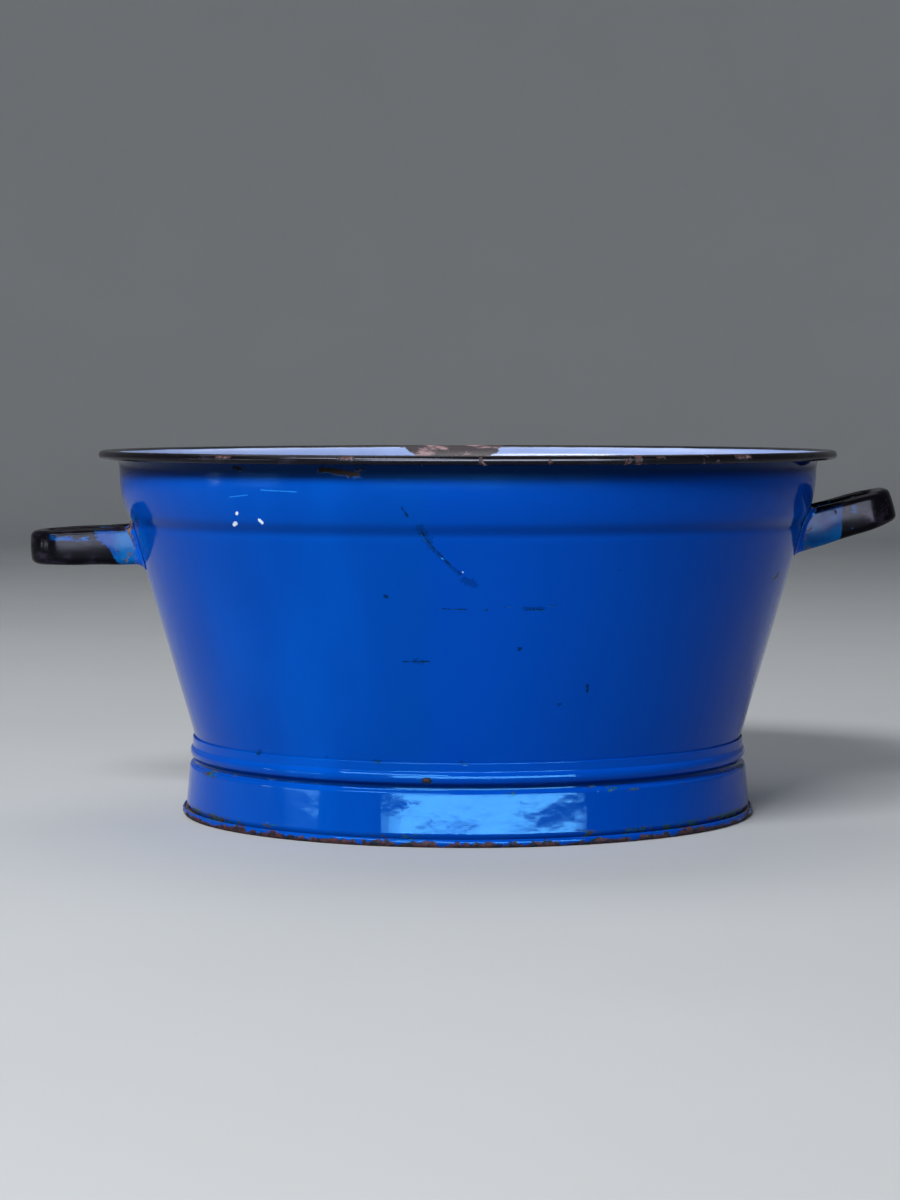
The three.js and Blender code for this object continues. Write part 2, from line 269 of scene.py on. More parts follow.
def make_object(name, vertices, faces, material_index, materials):
    """A closed mesh whose faces point outwards, whichever way round they were listed."""
    if encloses(vertices, faces) < 0:
        faces = [face[::-1] for face in faces]
    mesh = bpy.data.meshes.new(name)
    mesh.from_pydata([tuple(v) for v in vertices], [], faces)
    for material in materials:
        mesh.materials.append(material)
    mesh.polygons.foreach_set("material_index", material_index)
    mesh.shade_smooth()
    mesh.update()
    piece = bpy.data.objects.new(name, mesh)
    bpy.context.scene.collection.objects.link(piece)
    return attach(piece, "root")


def ring_faces(rings, points, closed):
    """Quads between rings of points round the tub, and the profile point that each one starts at."""
    faces, places = [], []
    for j in range(rings):
        following = (j + 1) % rings
        for i in range(points if closed else points - 1):
            up = (i + 1) % points
            faces.append((j * points + i, following * points + i, following * points + up, j * points + up))
            places.append(i)
    return faces, places


def oval_piece(name, profile, places_material, materials, closed=True):
    """Sweeps a profile round its ovals. A profile that isn't closed gets a cap at each end."""
    half_length, out, z = np.array(profile, float).T
    angle = np.linspace(0, 2 * np.pi, SEGMENTS, endpoint=False)[:, None]
    out = out + ripple(angle, z) * np.minimum(1, half_length / WAIST_HALF_LENGTH)
    x = (half_length + out) * np.cos(angle)
    y = (OVAL_RATIO * half_length + out) * np.sin(angle)
    vertices = np.stack([x, y, np.broadcast_to(z, x.shape)], axis=-1).reshape(-1, 3)
    count = len(profile)
    faces, places = ring_faces(SEGMENTS, count, closed)
    index = [places_material[p] for p in places]
    if not closed:
        faces.append(tuple(j * count for j in range(SEGMENTS))[::-1])
        faces.append(tuple(j * count + count - 1 for j in range(SEGMENTS)))
        index += [0, 1]
    return make_object(name, vertices, faces, index, materials)


def wall_half_length(z):
    """Half-length of the wall's outside at a height above the waist and below the band."""
    skin = np.array(wall_skin())
    return np.interp(z, skin[:, 2], skin[:, 0])


def on_wall(end, y, z, out):
    """A point on the outside of the wall at one end of the tub, or a little outside it."""
    skin = wall_half_length(z)
    angle = np.arcsin(np.clip(y / (OVAL_RATIO * skin + out), -1, 1))
    around = angle if end > 0 else np.pi - angle
    lift = out + ripple(around, z)
    return np.stack([end * (skin + lift) * np.cos(angle), (OVAL_RATIO * skin + lift) * np.sin(angle), z], -1)


def rounded_rectangle(width, height, radius, per_corner=8):
    """Outline with round corners, anticlockwise, starting at the right of the lower side."""
    points = []
    for corner, (sx, sy) in enumerate([(1, -1), (1, 1), (-1, 1), (-1, -1)]):
        for a in np.radians(np.linspace(-90, 0, per_corner + 1) + 90 * corner):
            cx, cy = sx * (width / 2 - radius), sy * (height / 2 - radius)
            points.append((cx + radius * np.cos(a), cy + radius * np.sin(a)))
    return np.array(points)


def resampled(outline, count, closed=True):
    """The same outline as evenly spaced points, so that outlines of different sizes can be joined."""
    loop = np.vstack([outline, outline[:1]]) if closed else outline
    along = np.concatenate([[0], np.cumsum(np.linalg.norm(np.diff(loop, axis=0), axis=1))])
    at = np.linspace(0, along[-1], count, endpoint=not closed)
    return np.stack([np.interp(at, along, loop[:, k]) for k in (0, 1)], axis=-1)


REACH, HALVINGS = 30 * MM, 30      # how far, and how finely, the wall is looked for


class Handle:
    """Where one handle lies: out runs along the handle, across is Y, and up is square to both."""

    def __init__(self, end, root_z, reach, tilt):
        rise = np.radians(tilt)
        self.end = end
        self.along = np.array([end * np.cos(rise), 0, np.sin(rise)])
        self.up = np.array([-end * np.sin(rise), 0, np.cos(rise)])
        self.across = np.array([0, 1, 0])
        root_x = wall_half_length(root_z)
        self.root = np.array([end * root_x, 0, root_z])
        self.length = (reach - abs(np.sin(rise)) * GRIP_TIP_HEIGHT / 2 - root_x) / np.cos(rise)

    def place(self, along, across, up):
        along, across, up = np.broadcast_arrays(along, across, up)
        return (
            self.root
            + along[..., None] * self.along
            + across[..., None] * self.across
            + up[..., None] * self.up
        )

    def height(self, along):
        """Height of the strip at a distance from the root."""
        t = np.clip(along / self.length, 0, 1)
        return GRIP_ROOT_HEIGHT + (GRIP_TIP_HEIGHT - GRIP_ROOT_HEIGHT) * t

    def meets_wall(self, across, up, clearance):
        """How far along the handle's own direction a line reaches the wall."""
        low, high = np.full(np.shape(across), -REACH), np.full(np.shape(across), REACH)
        for _ in range(HALVINGS):
            middle = (low + high) / 2
            p = self.place(middle, across, up)
            skin = wall_half_length(p[..., 2])
            across_share = p[..., 1] / (OVAL_RATIO * skin + clearance)
            outside = (p[..., 0] / (skin + clearance)) ** 2 + across_share**2 > 1
            low, high = np.where(outside, low, middle), np.where(outside, middle, high)
        return high


LEG_STEPS, BEND_STEPS, TIP_STEPS = 25, 18, 7
HALF_LOOP = LEG_STEPS + BEND_STEPS + 1  # stations of one leg and its bend
SECTION_POINTS = 60               # round the outside of the flat tube, and as many inside


def grip_centre_line(handle):
    """Stations round the loop, as (along, across, direction angle), from one leg's root to the other's."""
    x, y, r = handle.length - GRIP_THICKNESS / 2, LEG_Y, GRIP_BEND_RADIUS
    stations = [(a, y, 0.0) for a in np.linspace(0, x - r, LEG_STEPS + 1)[:-1]]
    turn = np.radians(np.linspace(90, 0, BEND_STEPS + 1))
    stations += [(x - r + r * np.cos(t), y - r + r * np.sin(t), np.pi / 2 - t) for t in turn]
    stations += [(x, w, np.pi / 2) for w in np.linspace(y - r, r - y, TIP_STEPS + 1)[1:-1]]
    return stations + [(a, -w, np.pi - d) for a, w, d in stations[:HALF_LOOP][::-1]]


def grip_section():
    """Outer and inner outlines of the flat tube, open at the seam on the finger side."""
    def open_outline(shrink, side):
        whole = rounded_rectangle(
            GRIP_ROOT_HEIGHT - 2 * shrink, GRIP_THICKNESS - 2 * shrink, GRIP_CORNER_RADIUS - shrink
        )
        seam = [np.array([SEAM / 2, side]), np.array([-SEAM / 2, side])]
        return resampled(np.vstack([seam[0], whole, seam[1]]), SECTION_POINTS, closed=False)

    side = -GRIP_THICKNESS / 2
    outer, inner = open_outline(0, side), open_outline(SHEET, side + SHEET)
    for outline in (outer, inner):
        crown = GRIP_CROWN * (1 - (2 * outline[:, 0] / GRIP_ROOT_HEIGHT) ** 2)
        outline[:, 1] += np.where(outline[:, 1] > 0, crown, 0) - GRIP_CROWN
    return outer, inner


def tube_faces(rings, count):
    """Quads between rings of points that follow each other along a tube."""
    return [
        (j * count + i, j * count + (i + 1) % count, (j + 1) * count + (i + 1) % count, (j + 1) * count + i)
        for j in range(rings - 1)
        for i in range(count)
    ]


def grip_piece(name, handle, materials):
    """The loop of flat tube. Its legs are drawn out from where each line along them clears the wall."""
    outer, inner = grip_section()
    section = np.vstack([outer, inner[::-1]])
    leg_end = handle.length - GRIP_THICKNESS / 2 - GRIP_BEND_RADIUS
    rings = []
    for along, across, direction in grip_centre_line(handle):
        ring_along = along + section[:, 1] * np.sin(direction)
        ring_across = across + section[:, 1] * np.cos(direction)
        up = section[:, 0] * handle.height(along) / GRIP_ROOT_HEIGHT
        if along < leg_end:
            root = handle.meets_wall(ring_across, up, GRIP_CLEARANCE)
            ring_along = root + (leg_end - root) * along / leg_end
        rings.append((ring_along, ring_across, up))
    nudge = dents_on_grip(rings)
    vertices = np.concatenate([handle.place(a, w, u) for a, w, u in nudge])
    count, total = len(section), len(rings)
    faces = tube_faces(total, count)
    half = count // 2
    for base, order in ((0, -1), ((total - 1) * count, 1)):
        for i in range(half - 1):
            faces.append((base + i, base + i + 1, base + count - 2 - i, base + count - 1 - i)[::order])
    return make_object(name, vertices, faces, [0] * len(faces), materials)


def dents_on_grip(rings):
    """A used handle isn't quite flat, except at the ends of its legs."""
    moved = []
    for station, (along, across, up) in enumerate(rings):
        wander = GRIP_WANDER * np.sin(along * 190 + up * 120 + 1.3) * np.cos(across * 150)
        fade = min(1, station / 4, (len(rings) - 1 - station) / 4)
        moved.append((along, across + wander * fade, up + 0.6 * wander * fade))
    return moved


PAD_POINTS, PAD_STEPS = 96, 16    # round the plate, and from the plate up to the leg
PAD_EDGE = 0.2 * MM               # how thick the plate is at its rim
PAD_TOP = 6.5 * MM                # how far up the leg the root sweeps
ROUNDED = 0.985                   # size of the plate's two faces, inside its rim


def pad_piece(name, handle, side, materials):
    """The flared root of one leg: a thin plate on the wall that sweeps up to the leg."""
    count, leg_y = PAD_POINTS, side * LEG_Y
    plate = resampled(rounded_rectangle(ROOT_HEIGHT, ROOT_WIDTH, ROOT_CORNER_RADIUS), count)
    leg = resampled(rounded_rectangle(GRIP_ROOT_HEIGHT, GRIP_THICKNESS, GRIP_CORNER_RADIUS), count)
    leg_in = leg * (1 - 2 * LEG_INSET / np.array([GRIP_ROOT_HEIGHT, GRIP_THICKNESS]))

    def footprint(outline, out):
        return on_wall(handle.end, leg_y + outline[:, 1], handle.root[2] + outline[:, 0], out)

    def along_leg(outline, lift):
        start = handle.meets_wall(leg_y + outline[:, 1], outline[:, 0], 0)
        return handle.place(start + lift, leg_y + outline[:, 1], outline[:, 0])

    under = footprint(plate * ROUNDED, GAP)
    rings = [footprint(plate * 0.5, 0.2 * MM), under, footprint(plate, GAP + PAD_EDGE)]
    start = footprint(plate * ROUNDED, GAP + 0.45 * MM)
    corner = along_leg(leg * 1.02, GAP + 0.8 * MM)
    finish = along_leg(leg_in, PAD_TOP)
    for t in np.linspace(0, 1, PAD_STEPS):
        rings.append((1 - t) ** 2 * start + 2 * t * (1 - t) * corner + t**2 * finish)
    rings.append(along_leg(leg_in * 0.5, PAD_TOP - 0.3 * MM))
    vertices = np.concatenate([*rings, rings[0].mean(axis=0)[None], rings[-1].mean(axis=0)[None]])
    faces = tube_faces(len(rings), count)
    last = (len(rings) - 1) * count
    middle = last + count
    for i in range(count):
        following = (i + 1) % count
        faces.append((middle, following, i))
        faces.append((middle + 1, last + i, last + following))
    return make_object(name, vertices, faces, [0] * len(faces), materials)


# ---- Materials ----


class Nodes:
    """Builds one material's node tree. Every method returns an output socket."""

    def __init__(self, name):
        self.material = bpy.data.materials.new(name)
        self.material.use_nodes = True
        self.tree = self.material.node_tree
        self.shader = self.tree.nodes["Principled BSDF"]
        self.place = self.add("ShaderNodeTexCoord").outputs["Object"]
        split = self.add("ShaderNodeSeparateXYZ")
        self.wire(self.place, split.inputs[0])
        self.x, self.y, self.z = split.outputs
        self.ragged = None

    def add(self, kind):
        return self.tree.nodes.new(kind)

    def wire(self, value, socket):
        if isinstance(value, bpy.types.NodeSocket):
            self.tree.links.new(value, socket)
        else:
            socket.default_value = value

    def math(self, operation, *values, clamp=False):
        node = self.add("ShaderNodeMath")
        node.operation, node.use_clamp = operation, clamp
        for value, socket in zip(values, node.inputs):
            self.wire(value, socket)
        return node.outputs[0]

    def noise(self, scale, detail=2.0, roughness=0.5, stretch=None, offset=(0, 0, 0), warp=0.0):
        mapping = self.add("ShaderNodeMapping")
        self.wire(self.place, mapping.inputs["Vector"])
        mapping.inputs["Location"].default_value = offset
        mapping.inputs["Scale"].default_value = stretch or (1, 1, 1)
        node = self.add("ShaderNodeTexNoise")
        self.wire(mapping.outputs[0], node.inputs["Vector"])
        node.inputs["Scale"].default_value = scale
        node.inputs["Detail"].default_value = detail
        node.inputs["Roughness"].default_value = roughness
        node.inputs["Distortion"].default_value = warp
        return node.outputs["Fac"]

    def cells(self, scale, offset=(0, 0, 0)):
        """Distance to the nearest of many scattered points, and a random number for that point."""
        mapping = self.add("ShaderNodeMapping")
        self.wire(self.place, mapping.inputs["Vector"])
        mapping.inputs["Location"].default_value = offset
        node = self.add("ShaderNodeTexVoronoi")
        self.wire(mapping.outputs[0], node.inputs["Vector"])
        node.inputs["Scale"].default_value = scale
        red = self.add("ShaderNodeSeparateColor")
        self.wire(node.outputs["Color"], red.inputs[0])
        return node.outputs["Distance"], red.outputs[0]

    def step(self, value, low, high):
        """0 below low, 1 above high, and smooth between. High may be the lower number."""
        node = self.add("ShaderNodeMapRange")
        node.interpolation_type = "SMOOTHSTEP"
        self.wire(value, node.inputs["Value"])
        self.wire(low, node.inputs["From Min"])
        self.wire(high, node.inputs["From Max"])
        return node.outputs[0]

    def mix(self, mask, first, second):
        """First where the mask is 0 and second where it is 1, for colours."""
        node = self.add("ShaderNodeMix")
        node.data_type = "RGBA"
        self.wire(mask, node.inputs["Factor"])
        colours = [s for s in node.inputs if s.type == "RGBA"]
        for value, socket in zip((first, second), colours):
            self.wire((*value, 1) if isinstance(value, tuple) else value, socket)
        return next(s for s in node.outputs if s.type == "RGBA")

    def blend(self, mask, first, second):
        """The same for numbers."""
        return self.math("MULTIPLY_ADD", mask, self.math("SUBTRACT", second, first), first)

    def either(self, *masks):
        result = masks[0]
        for mask in masks[1:]:
            result = self.math("MAXIMUM", result, mask)
        return result

    def both(self, *masks):
        result = masks[0]
        for mask in masks[1:]:
            result = self.math("MULTIPLY", result, mask)
        return result

    def near_line(self, start, stop, radius, ragged=0.5):
        """A worn mark round the line between two points of the tub, with a ragged edge."""
        a, b = Vector(start), Vector(stop)
        span = b - a
        offset = self.vector("SUBTRACT", self.place, tuple(a))
        along = self.vector("DOT_PRODUCT", offset, tuple(span), out=1)
        share = self.math("DIVIDE", along, max(span.length_squared, 1e-9), clamp=True)
        nearest = self.add("ShaderNodeVectorMath")
        nearest.operation = "SCALE"
        nearest.inputs[0].default_value = span
        self.wire(share, nearest.inputs["Scale"])
        away = self.vector("LENGTH", self.vector("SUBTRACT", offset, nearest.outputs[0]), out=1)
        if self.ragged is None:
            self.ragged = self.noise(420, 3, 0.65)
        rough = self.math("MULTIPLY_ADD", self.ragged, 4 * ragged * radius, -2 * ragged * radius)
        return self.step(self.math("ADD", away, rough), radius, 0.7 * radius)

    def vector(self, operation, first, second=None, out=0):
        node = self.add("ShaderNodeVectorMath")
        node.operation = operation
        self.wire(first, node.inputs[0])
        if second is not None:
            self.wire(second, node.inputs[1])
        return node.outputs[out]

    def bump(self, height):
        """Relief from a height in metres. One for each material, because it repeats all that it is fed."""
        node = self.add("ShaderNodeBump")
        node.inputs["Distance"].default_value = 1.0
        self.wire(height, node.inputs["Height"])
        return node.outputs[0]

    def finish(self, colour, roughness, normal, metallic=0.0, ior=1.45, tint=(1.0, 1.0, 1.0)):
        for value, name in (
            (colour, "Base Color"),
            (roughness, "Roughness"),
            (normal, "Normal"),
            (metallic, "Metallic"),
        ):
            self.wire(value, self.shader.inputs[name])
        self.shader.inputs["IOR"].default_value = ior
        self.shader.inputs["Specular Tint"].default_value = (*tint, 1)
        return self.material


BLUE = (0.0, 0.071, 0.46)
BLUE_DEEP = (0.0, 0.055, 0.385)
TEAL = (0.004, 0.10, 0.13)
# painted shade for the right end, which gets less of the key light
PAINTED_SHADE_BLUE = (0.0, 0.053, 0.43)
# painted shadow that the rolled rim casts on the blue below it
PAINTED_RIM_SHADOW = (0.0, 0.007, 0.07)
BLACK = (0.0030, 0.0026, 0.0045)
PALE = (0.29, 0.38, 0.66)
PALE_THIN = (0.21, 0.29, 0.55)
STAIN = (0.22, 0.17, 0.20)
RUST = (0.085, 0.022, 0.012)
RUST_DARK = (0.014, 0.006, 0.005)
RUST_PALE = (0.22, 0.14, 0.15)
GOLD_RUST = (0.15, 0.085, 0.035)
# painted shade in the crease below the shoulder
PAINTED_CREASE_SHADE = (0.0, 0.012, 0.11)
SMUDGE = (0.0, 0.010, 0.05)
SCRATCH_DARK = (0.0, 0.008, 0.025)
# painted highlight along scratches
SCRATCH_HIGHLIGHT_BLUE = (0.02, 0.26, 0.80)
HAIRLINE = (0.02, 0.16, 0.55)
CHIP_DARK = (0.005, 0.004, 0.004)
# painted glints of water drops
GLINT_WHITE = (0.62, 0.75, 0.9)
LAP_DARK = (0.0, 0.016, 0.05)
# painted shade under the foot ring's rib
PAINTED_RIB_SHADE = (0.0, 0.010, 0.07)
WEAR_BROWN = (0.06, 0.03, 0.016)
BARE_DARK = (0.006, 0.005, 0.006)
BARE_BROWN = (0.03, 0.018, 0.016)
RIM_HAZE = (0.016, 0.014, 0.024)
GRIP_HAZE = (0.022, 0.018, 0.032)
GRIP_BLUE, GRIP_BLUE_LIGHT = (0.0, 0.045, 0.25), (0.001, 0.11, 0.36)
PATCH_DARK, PATCH_PALE = (0.020, 0.013, 0.020), (0.30, 0.19, 0.21)
STEEL = (0.10, 0.09, 0.085)
PAPER, PAPER_LIGHT = (0.39, 0.41, 0.43), (0.43, 0.45, 0.47)
RUST_RUN = ((-0.2275, -0.018, 0.176), (-0.216, -0.022, 0.134))  # down the wall from the left handle
ENAMEL_IOR, RIM_IOR, GRIP_IOR, INSIDE_IOR, STEEL_IOR = 1.27, 1.28, 1.13, 1.4, 1.5
BLUE_GLINT = (0.12, 0.55, 1.0)    # the blue glaze tints what it mirrors
GREY_GLINT = (0.72, 0.78, 1.0)    # and the black glaze less so


def rust_colour(n, offset=(0, 0, 0)):
    """Dark scale, red-brown rust and a few pale scraped grains."""
    patches = n.step(n.noise(260, 4, 0.65, offset=offset), 0.42, 0.6)
    grains = n.step(n.noise(900, 2, 0.6, offset=offset), 0.66, 0.72)
    return n.mix(grains, n.mix(patches, RUST_DARK, RUST), RUST_PALE)


def enamel_bump(n, chips=0.0, scale=14, depth=0.30 * MM):
    """Slow waves in the glaze, fine orange peel, and chips that sink through it, as one relief."""
    waves = n.math("MULTIPLY", n.noise(scale, 2, 0.4), depth)
    peel = n.math("MULTIPLY_ADD", n.noise(190, 1, 0.5), 0.022 * MM, waves)
    grit = n.math("MULTIPLY_ADD", n.noise(800, 2, 0.7), 0.12 * MM, -0.22 * MM)
    return n.bump(n.math("MULTIPLY_ADD", chips, grit, peel))


def pinholes(n, scale, share, radius, offset=(0, 0, 0)):
    """A few scattered dots, where the glaze didn't close or was knocked."""
    distance, chance = n.cells(scale, offset)
    dots = n.step(distance, radius * scale, 0.6 * radius * scale)
    return n.both(dots, n.step(chance, 1 - share, 1 - share + 0.001))


def black_rim(n, below, margin):
    """The black enamel over the rolled rim, with an edge that wanders as brushed enamel does."""
    wander = n.math("MULTIPLY_ADD", n.noise(34, 3, 0.6), 2 * margin, -margin)
    return n.step(n.math("ADD", n.z, wander), RIM_Z - below - 0.3 * MM, RIM_Z - below + 0.3 * MM)


def front(x, z):
    """The point of the wall's front that has this X and Z, given in mm."""
    x, z = x * MM, z * MM
    skin = wall_half_length(z)
    return (x, -OVAL_RATIO * skin * np.sqrt(max(0, 1 - (x / skin) ** 2)), z)


def marks(n, table, ragged):
    """All the marks of one table, as one mask."""
    return n.either(*(n.near_line(front(*a), front(*b), r * MM, ragged) for a, b, r in table))


# Marks on the front of the wall, in mm: (start, stop, radius), each point found by its X and Z
SCRATCHES = [
    ((-29.6, 203), (-25.5, 197), 1.1),
    ((-25.5, 197), (-16, 187), 0.5),
    ((-15, 185.5), (-5, 177), 0.75),
    ((-17, 155), (-2, 154.6), 0.45),
    ((8, 154.4), (11, 154.2), 0.7),
    ((22, 156), (55, 156.6), 0.4),
    ((36, 154.4), (46, 154.2), 0.8),
    ((-42, 120.4), (-25, 120.8), 0.6),
    ((205.6, 167.4), (208.6, 170), 2.6),
    ((-42, 219), (-39, 214), 1.0),
    ((-53, 162.5), (-52, 162.5), 1.5),
    ((31.5, 129), (32.5, 129), 1.5),
    ((76, 100), (76, 104), 1.2),
    ((57, 92), (58, 92), 1.4),
]
SMUDGES = [
    ((-31, 206), (-24, 195), 3.0),
    ((-22, 192), (-6, 177), 1.4),
    ((-3, 173.5), (3, 171), 2.8),
    ((35, 155), (47, 155), 1.5),
    ((-34, 120.5), (-30, 120.7), 2.0),
]
# Painted highlights: small white glints of water drops on the wall, as marks in mm by X and Z
DROP_GLINTS = [
    ((-150.5, 206.2), (-149.5, 207.6), 1.5),
    ((-148.6, 213.8), (-148.2, 214.4), 1.1),
    ((-133.4, 210), (-132, 208.6), 1.4),
    ((-4.2, 178.6), (-4, 178.4), 0.45),
]
# Scratches whose edges catch the light, drawn as painted highlights in a lighter blue
HIGHLIGHTED_SCRATCHES = [
    ((-132, 229.4), (-109, 228.6), 0.45),
    ((-153, 224.5), (-141, 226), 0.35),
    ((-17.5, 187.4), (-16.5, 186.8), 0.6),
]
RIM_CHIPS = [
    ((-93, 242.6), (-84, 242), 2.0),
    ((-84, 241.6), (-71, 239.6), 2.6),
    ((-70, 243), (-66, 243.4), 1.4),
    ((-149, 244), (-145, 242.6), 1.6),
]
# Chips along the front of the roll, in mm: (X from, X to, radius)
ROLL_CHIPS = [
    (-160, -152, 1.6),
    (-80, -73, 1.8),
    (171, 179, 2.2),
    (118, 122, 1.2),
]


def glaze(n):
    """The blue glaze, a little uneven and run downwards in broad streaks, which also serve as painted
    reflection, with painted shade towards its right end.
    """
    cloud = n.noise(7, 3, 0.55)
    # The vertical runs are uneven glaze, and also stand in for painted reflection: the streaks that the shiny
    # wall mirrors.
    runs_and_reflections = n.noise(13, 3, 0.55, stretch=(1, 1, 0.06))
    uneven = n.step(n.math("MULTIPLY_ADD", runs_and_reflections, 0.55, n.math("MULTIPLY", cloud, 0.45)), 0.38, 0.62)
    # Painted shade: the glaze turns darker blue from the middle to the right end, where the key light falls
    # off.
    right = n.math("MULTIPLY", n.step(n.math("MULTIPLY_ADD", cloud, 0.03, n.x), -0.022, 0.000), 0.75)
    return n.mix(right, n.mix(uneven, BLUE_DEEP, BLUE), PAINTED_SHADE_BLUE)


def wall_outside():
    """Blue outside with the marks of use on its front, and painted light: a painted shadow under the black
    rim, painted shade in the crease below the shoulder, painted glints of water drops and painted highlights
    along a few scratches.
    """
    n = Nodes("wall_outside_enamel")
    rim = black_rim(n, 6.0 * MM, 0.9 * MM)
    # Painted shadow: the blue darkens over the top 20 mm of the outside, as if shaded by the rolled rim.
    colour = n.mix(n.step(n.z, RIM_Z - 20 * MM, RIM_Z - 10 * MM), glaze(n), PAINTED_RIM_SHADOW)
    # Painted shade: a darker blue band along the crease below the shoulder.
    crease = n.both(n.step(n.z, 198 * MM, 203 * MM), n.step(n.z, 211 * MM, 204 * MM))
    colour = n.mix(n.math("MULTIPLY", crease, 0.42), colour, PAINTED_CREASE_SHADE)
    smudges = marks(n, SMUDGES, 0.9)
    colour = n.mix(n.math("MULTIPLY", smudges, 0.38), colour, SMUDGE)
    broken = n.step(n.noise(230, 3, 0.7), 0.38, 0.54)
    scratches = n.both(marks(n, SCRATCHES, 0.6), broken)
    drop_glints = marks(n, DROP_GLINTS, 0.3)
    chips = n.either(
        marks(n, RIM_CHIPS, 0.7),
        pinholes(n, 42, 0.05, 0.9 * MM),
        pinholes(n, 90, 0.03, 0.5 * MM, (3, 1, 2)),
    )
    colour = n.mix(n.math("MULTIPLY", scratches, 0.85), colour, SCRATCH_DARK)
    # Painted highlights: lighter blue lines where a few scratches catch the light.
    colour = n.mix(n.math("MULTIPLY", marks(n, HIGHLIGHTED_SCRATCHES, 0.4), 0.55), colour, SCRATCH_HIGHLIGHT_BLUE)
    hair = n.noise(60, 1, 0.3, stretch=(0.35, 1, 1.6), warp=1.2)
    where = n.step(n.noise(19, 2, 0.5, offset=(4, 4, 4)), 0.56, 0.62)
    hairs = n.both(n.step(hair, 0.4985, 0.5), n.step(hair, 0.5015, 0.5), where)
    colour = n.mix(n.math("MULTIPLY", hairs, 0.35), colour, HAIRLINE)
    colour = n.mix(rim, colour, BLACK)
    colour = n.mix(chips, colour, CHIP_DARK)
    # Painted highlights: white glints of water drops on the front of the wall.
    colour = n.mix(drop_glints, colour, GLINT_WHITE)
    streak = n.near_line(*RUST_RUN, 2.6 * MM, 0.9)
    colour = n.mix(n.math("MULTIPLY", streak, 0.8), colour, GOLD_RUST)
    lap_wear = n.both(n.step(n.z, 57 * MM, 55 * MM), n.step(n.noise(60, 4, 0.65), 0.62, 0.70))
    colour = n.mix(n.math("MULTIPLY", lap_wear, 0.75), colour, LAP_DARK)
    shares = ((chips, 0.45), (lap_wear, 0.4), (scratches, 0.3))
    damage = n.either(*(n.math("MULTIPLY", mask, share) for mask, share in shares))
    gloss = n.math("MULTIPLY_ADD", n.noise(22, 4, 0.6), 0.08, 0.04)
    roughness = n.blend(damage, gloss, 0.62)
    relief = enamel_bump(n, damage)
    return n.finish(colour, roughness, relief, metallic=chips, ior=ENAMEL_IOR, tint=BLUE_GLINT)


def rim_enamel():
    """Black enamel on the roll, worn to rust in a few places along its outer edge."""
    n = Nodes("rim_enamel")
    outward = n.step(n.noise(60, 4, 0.7, stretch=(1, 1, 0.5)), 0.635, 0.655)
    known = (n.near_line(rim_front(a), rim_front(b), r * MM, 0.8) for a, b, r in ROLL_CHIPS)
    chips = n.either(outward, *known)
    colour = n.mix(n.step(n.noise(50, 4, 0.6), 0.5, 0.75), BLACK, RIM_HAZE)
    rust = n.mix(n.step(n.noise(150, 2), 0.5, 0.6), RUST, RUST_PALE)
    colour = n.mix(chips, colour, n.mix(n.step(n.noise(420, 3), 0.42, 0.6), RUST_DARK, rust))
    colour = n.mix(worn_far_rim(n), colour, far_rim_patch(n))
    gloss = n.math("MULTIPLY_ADD", n.noise(60, 4, 0.6), 0.25, 0.10)
    return n.finish(colour, n.blend(chips, gloss, 0.65), enamel_bump(n, chips), ior=RIM_IOR, tint=GREY_GLINT)


def rim_front(x):
    """The point high on the outside of the roll, at the front, that has this X, given in mm."""
    x = x * MM
    length, width = RIM_HALF_LENGTH, OVAL_RATIO * RIM_CENTRE[0] + ROLL_RADIUS
    return (x, -width * np.sqrt(1 - (x / length) ** 2), RIM_CENTRE[2] + 0.6 * ROLL_RADIUS)


def worn_far_rim(n):
    """Where the far edge is worn bare: a patch in the middle of the back that narrows down the flare."""
    ragged = n.math("MULTIPLY_ADD", n.noise(55, 4, 0.65), 24 * MM, -12 * MM)
    depth = n.math("SUBTRACT", RIM_Z, n.z)
    across = n.math("ABSOLUTE", n.math("ADD", n.math("ADD", n.x, 12.5 * MM), ragged))
    taper = n.math("MULTIPLY", n.noise(33, 4, 0.6, offset=(6, 0, 2)), 3.4)
    narrowed = n.math("MULTIPLY_ADD", depth, taper, across)
    return n.both(n.step(n.y, 120 * MM, 150 * MM), n.step(narrowed, 41.5 * MM, 40 * MM))


def far_rim_patch(n):
    """Bare dark metal with pale streaks."""
    streak = n.step(n.noise(95, 4, 0.6, stretch=(0.4, 1, 1)), 0.47, 0.6)
    return n.mix(streak, PATCH_DARK, PATCH_PALE)


def inside_enamel():
    """Pale glaze with stains that gather towards the floor, and a few rusted chips."""
    n = Nodes("inside_enamel")
    rim = black_rim(n, 1.6 * MM, 0.5 * MM)
    cloud = n.step(n.noise(9, 4, 0.6), 0.3, 0.75)
    colour = n.mix(cloud, PALE, PALE_THIN)
    low = n.step(n.z, 90 * MM, 40 * MM)
    grime = n.both(n.step(n.noise(26, 5, 0.65), 0.48, 0.68), n.math("MULTIPLY_ADD", low, 0.55, 0.18))
    colour = n.mix(grime, colour, STAIN)
    worn = worn_far_rim(n)
    colour = n.mix(rim, colour, BLACK)
    colour = n.mix(worn, colour, far_rim_patch(n))
    chips = n.either(pinholes(n, 46, 0.06, 1.2 * MM), pinholes(n, 24, 0.05, 2.4 * MM, (2, 5, 1)))
    colour = n.mix(chips, colour, rust_colour(n))
    gloss = n.math("MULTIPLY_ADD", n.noise(18, 4, 0.6), 0.2, 0.1)
    return n.finish(colour, n.blend(n.either(chips, worn), gloss, 0.6), enamel_bump(n, chips), ior=INSIDE_IOR)


